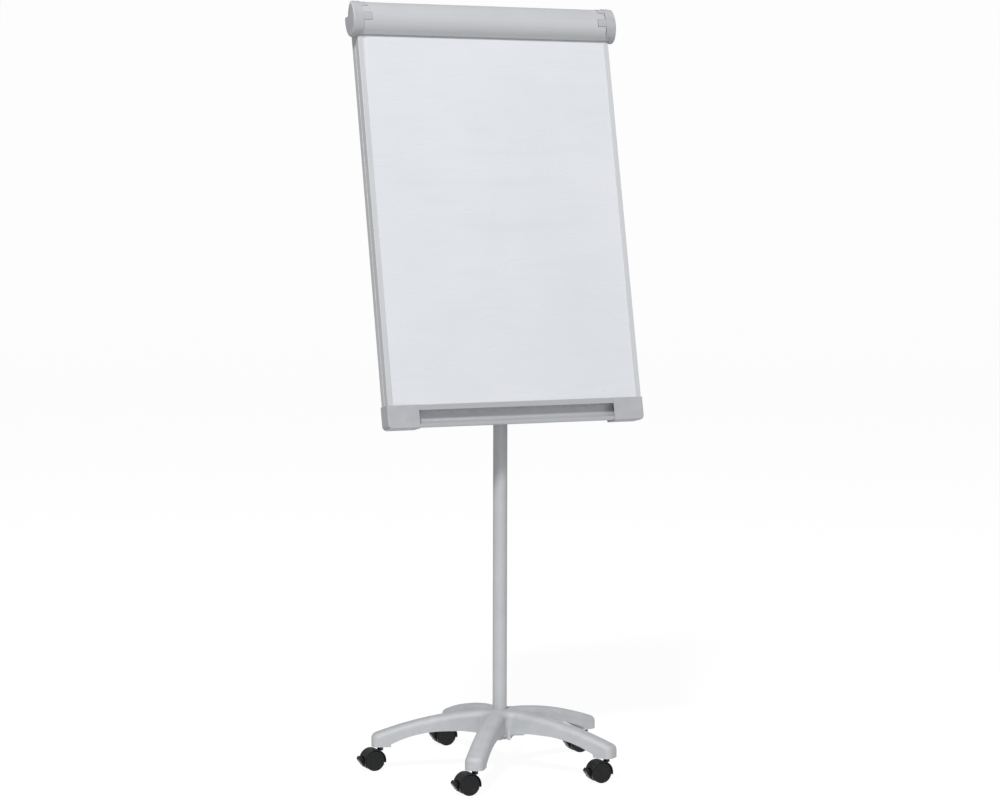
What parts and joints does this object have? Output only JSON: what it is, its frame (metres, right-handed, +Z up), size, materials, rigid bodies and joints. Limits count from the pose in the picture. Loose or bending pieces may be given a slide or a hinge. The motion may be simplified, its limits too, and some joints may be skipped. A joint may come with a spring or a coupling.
{
  "type": "flipchart easel",
  "caption": "Mobile flipchart easel: white steel board in a silver-grey frame with a hinged clamp bar and pen tray, on a telescopic column over a five-arm base with twin-wheel casters",
  "frame": {"origin": "on the floor, under the axis of the round column", "axes": "+Z up the column, the writing face looks towards -Y, +X to the right of a person facing the board"},
  "size_m": [0.718, 0.5869, 1.8812],
  "materials": {
    "moulded_grey": "fine satin moulding",
    "painted_tube": "light grey powder coat",
    "frame_aluminium": "silver grey lacquered extrusion",
    "writing_enamel": "glossy white enamel",
    "rear_painted": "light grey coil coat",
    "core_board": "honeycomb board",
    "zinc_steel": "bright zinc",
    "black_plastic": "satin black moulding",
    "black_knob": "textured black moulding",
    "caster_tread": "smooth black nylon",
    "dark_rubber": "matt extruded rubber",
    "cast_grey": "bead-blasted casting",
    "nylon_white": "natural nylon"
  },
  "bodies": {
    "base": {"star_base": "moulded_grey", "column_foot_plug": "nylon_white", "base_bolt": "zinc_steel", "caster_stems": "zinc_steel", "column_outer_tube": "painted_tube", "column_guide_bush": "black_plastic", "height_clamp_collar": "black_plastic"},
    "height_knob": {"height_stud": "zinc_steel", "height_knob": "black_knob"},
    "mast": {"column_inner_tube": "zinc_steel", "inner_tube_slider": "nylon_white", "tilt_head": "cast_grey", "tilt_friction_washers": "nylon_white"},
    "board": {"tilt_bracket": "painted_tube", "board_screws": "zinc_steel", "writing_sheet": "writing_enamel", "core_panel": "core_board", "rear_sheet": "rear_painted", "side_frame_left": "frame_aluminium", "side_frame_right": "frame_aluminium", "pen_tray": "frame_aluminium", "corner_cap_left": "moulded_grey", "corner_cap_right": "moulded_grey", "top_rail": "frame_aluminium", "bar_cheeks": "moulded_grey", "bar_hinge_pins": "zinc_steel", "bar_springs": "zinc_steel"},
    "tilt_knob": {"tilt_bolt": "zinc_steel", "tilt_knob": "black_knob"},
    "clamp_bar": {"clamp_bar": "frame_aluminium", "grip_strip": "dark_rubber", "bar_cap_left": "moulded_grey", "bar_cap_right": "moulded_grey"},
    "paper_hook_left": {"paper_hook_left": "black_plastic"},
    "paper_hook_right": {"paper_hook_right": "black_plastic"},
    "caster_1_swivel": {"caster_1_housing": "black_plastic", "caster_1_axle": "zinc_steel"},
    "caster_1_front": {"caster_1_wheel_front": "caster_tread"},
    "caster_1_rear": {"caster_1_wheel_rear": "caster_tread"},
    "caster_1_brake": {"caster_1_brake_lever": "black_plastic"},
    "caster_2_swivel": {"caster_2_housing": "black_plastic", "caster_2_axle": "zinc_steel"},
    "caster_2_front": {"caster_2_wheel_front": "caster_tread"},
    "caster_2_rear": {"caster_2_wheel_rear": "caster_tread"},
    "caster_2_brake": {"caster_2_brake_lever": "black_plastic"},
    "caster_3_swivel": {"caster_3_housing": "black_plastic", "caster_3_axle": "zinc_steel"},
    "caster_3_front": {"caster_3_wheel_front": "caster_tread"},
    "caster_3_rear": {"caster_3_wheel_rear": "caster_tread"},
    "caster_3_brake": {"caster_3_brake_lever": "black_plastic"},
    "caster_4_swivel": {"caster_4_housing": "black_plastic", "caster_4_axle": "zinc_steel"},
    "caster_4_front": {"caster_4_wheel_front": "caster_tread"},
    "caster_4_rear": {"caster_4_wheel_rear": "caster_tread"},
    "caster_4_brake": {"caster_4_brake_lever": "black_plastic"},
    "caster_5_swivel": {"caster_5_housing": "black_plastic", "caster_5_axle": "zinc_steel"},
    "caster_5_front": {"caster_5_wheel_front": "caster_tread"},
    "caster_5_rear": {"caster_5_wheel_rear": "caster_tread"},
    "caster_5_brake": {"caster_5_brake_lever": "black_plastic"}
  },
  "joints": [
    {"name": "column_height", "type": "slide", "parent": "base", "child": "mast", "axis": [0, 0, 1], "range_m": [-0.11, 0.15]},
    {"name": "height_knob_turn", "type": "hinge", "parent": "base", "child": "height_knob", "pos_m": [0, 0.05, 0.891], "axis": [0, 1, 0], "range_deg": [0, 360]},
    {"name": "board_tilt", "type": "hinge", "parent": "mast", "child": "board", "pos_m": [0, 0, 1.1], "axis": [-1, 0, 0], "range_deg": [-11.4, 18.6]},
    {"name": "tilt_knob_turn", "type": "hinge", "parent": "board", "child": "tilt_knob", "pos_m": [0.03, 0, 1.1], "axis": [1, 0, 0], "range_deg": [0, 360]},
    {"name": "clamp_bar_hinge", "type": "hinge", "parent": "board", "child": "clamp_bar", "pos_m": [0, 0.11462, 1.85902], "axis": [-1, 0, 0], "range_deg": [0, 60], "stiffness_Nm_per_rad": 0.6, "springref_deg": -28.65},
    {"name": "hook_left_slide", "type": "slide", "parent": "board", "child": "paper_hook_left", "axis": [1, 0, 0], "range_m": [-0.16, 0.03]},
    {"name": "hook_right_slide", "type": "slide", "parent": "board", "child": "paper_hook_right", "axis": [1, 0, 0], "range_m": [-0.03, 0.16]},
    {"name": "caster_1_swivel_turn", "type": "hinge", "parent": "base", "child": "caster_1_swivel", "pos_m": [-0.18142, -0.23389, 0.05], "axis": [0, 0, 1], "continuous": true},
    {"name": "caster_1_front_spin", "type": "hinge", "parent": "caster_1_swivel", "child": "caster_1_front", "pos_m": [-0.20142, -0.23389, 0.025], "axis": [0, 1, 0], "continuous": true},
    {"name": "caster_1_rear_spin", "type": "hinge", "parent": "caster_1_swivel", "child": "caster_1_rear", "pos_m": [-0.20142, -0.23389, 0.025], "axis": [0, 1, 0], "continuous": true},
    {"name": "caster_1_brake_press", "type": "hinge", "parent": "caster_1_swivel", "child": "caster_1_brake", "pos_m": [-0.22042, -0.23389, 0.014], "axis": [0, -1, 0], "range_deg": [0, 14]},
    {"name": "caster_2_swivel_turn", "type": "hinge", "parent": "base", "child": "caster_2_swivel", "pos_m": [0.16638, -0.24482, 0.05], "axis": [0, 0, 1], "continuous": true},
    {"name": "caster_2_front_spin", "type": "hinge", "parent": "caster_2_swivel", "child": "caster_2_front", "pos_m": [0.14638, -0.24482, 0.025], "axis": [0, 1, 0], "continuous": true},
    {"name": "caster_2_rear_spin", "type": "hinge", "parent": "caster_2_swivel", "child": "caster_2_rear", "pos_m": [0.14638, -0.24482, 0.025], "axis": [0, 1, 0], "continuous": true},
    {"name": "caster_2_brake_press", "type": "hinge", "parent": "caster_2_swivel", "child": "caster_2_brake", "pos_m": [0.12738, -0.24482, 0.014], "axis": [0, -1, 0], "range_deg": [0, 14]},
    {"name": "caster_3_swivel_turn", "type": "hinge", "parent": "base", "child": "caster_3_swivel", "pos_m": [0.28425, 0.08258, 0.05], "axis": [0, 0, 1], "continuous": true},
    {"name": "caster_3_front_spin", "type": "hinge", "parent": "caster_3_swivel", "child": "caster_3_front", "pos_m": [0.26425, 0.08258, 0.025], "axis": [0, 1, 0], "continuous": true},
    {"name": "caster_3_rear_spin", "type": "hinge", "parent": "caster_3_swivel", "child": "caster_3_rear", "pos_m": [0.26425, 0.08258, 0.025], "axis": [0, 1, 0], "continuous": true},
    {"name": "caster_3_brake_press", "type": "hinge", "parent": "caster_3_swivel", "child": "caster_3_brake", "pos_m": [0.24525, 0.08258, 0.014], "axis": [0, -1, 0], "range_deg": [0, 14]},
    {"name": "caster_4_swivel_turn", "type": "hinge", "parent": "base", "child": "caster_4_swivel", "pos_m": [0.0093, 0.29585, 0.05], "axis": [0, 0, 1], "continuous": true},
    {"name": "caster_4_front_spin", "type": "hinge", "parent": "caster_4_swivel", "child": "caster_4_front", "pos_m": [-0.0107, 0.29585, 0.025], "axis": [0, 1, 0], "continuous": true},
    {"name": "caster_4_rear_spin", "type": "hinge", "parent": "caster_4_swivel", "child": "caster_4_rear", "pos_m": [-0.0107, 0.29585, 0.025], "axis": [0, 1, 0], "continuous": true},
    {"name": "caster_4_brake_press", "type": "hinge", "parent": "caster_4_swivel", "child": "caster_4_brake", "pos_m": [-0.0297, 0.29585, 0.014], "axis": [0, -1, 0], "range_deg": [0, 14]},
    {"name": "caster_5_swivel_turn", "type": "hinge", "parent": "base", "child": "caster_5_swivel", "pos_m": [-0.2785, 0.10027, 0.05], "axis": [0, 0, 1], "continuous": true},
    {"name": "caster_5_front_spin", "type": "hinge", "parent": "caster_5_swivel", "child": "caster_5_front", "pos_m": [-0.2985, 0.10027, 0.025], "axis": [0, 1, 0], "continuous": true},
    {"name": "caster_5_rear_spin", "type": "hinge", "parent": "caster_5_swivel", "child": "caster_5_rear", "pos_m": [-0.2985, 0.10027, 0.025], "axis": [0, 1, 0], "continuous": true},
    {"name": "caster_5_brake_press", "type": "hinge", "parent": "caster_5_swivel", "child": "caster_5_brake", "pos_m": [-0.3175, 0.10027, 0.014], "axis": [0, -1, 0], "range_deg": [0, 14]}
  ]
}
